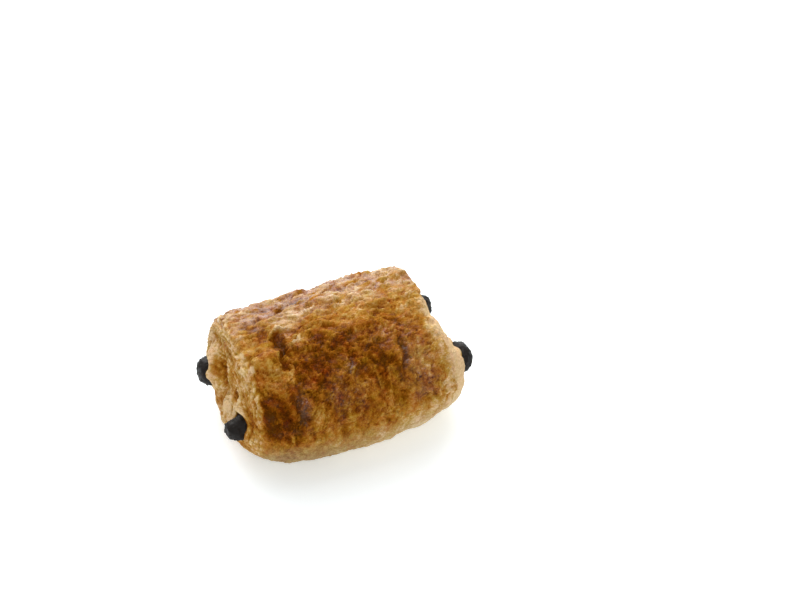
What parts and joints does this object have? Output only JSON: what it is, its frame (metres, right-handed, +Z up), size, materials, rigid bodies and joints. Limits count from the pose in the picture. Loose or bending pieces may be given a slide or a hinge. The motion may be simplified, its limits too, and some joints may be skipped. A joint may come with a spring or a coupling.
{
  "type": "pain au chocolat",
  "caption": "Laminated pastry rolled round chocolate sticks that show at both ends, browned on top; food that lies on its flat base.",
  "frame": {"origin": "under the middle of the whole outline, at the level of the flat base", "axes": "+X along the chocolate sticks, +Y to the back of the roll, +Z up out of the browned top"},
  "size_m": [0.0832, 0.0602, 0.037],
  "materials": {
    "baked_dough": "flaky baked dough, egg-washed and browned on top, pale at the ends and the foot",
    "chocolate": "dark baked chocolate, dull with a soft sheen"
  },
  "bodies": {
    "root": {"pastry": "baked_dough", "chocolate_stick_front": "chocolate", "chocolate_stick_back": "chocolate"}
  },
  "joints": []
}
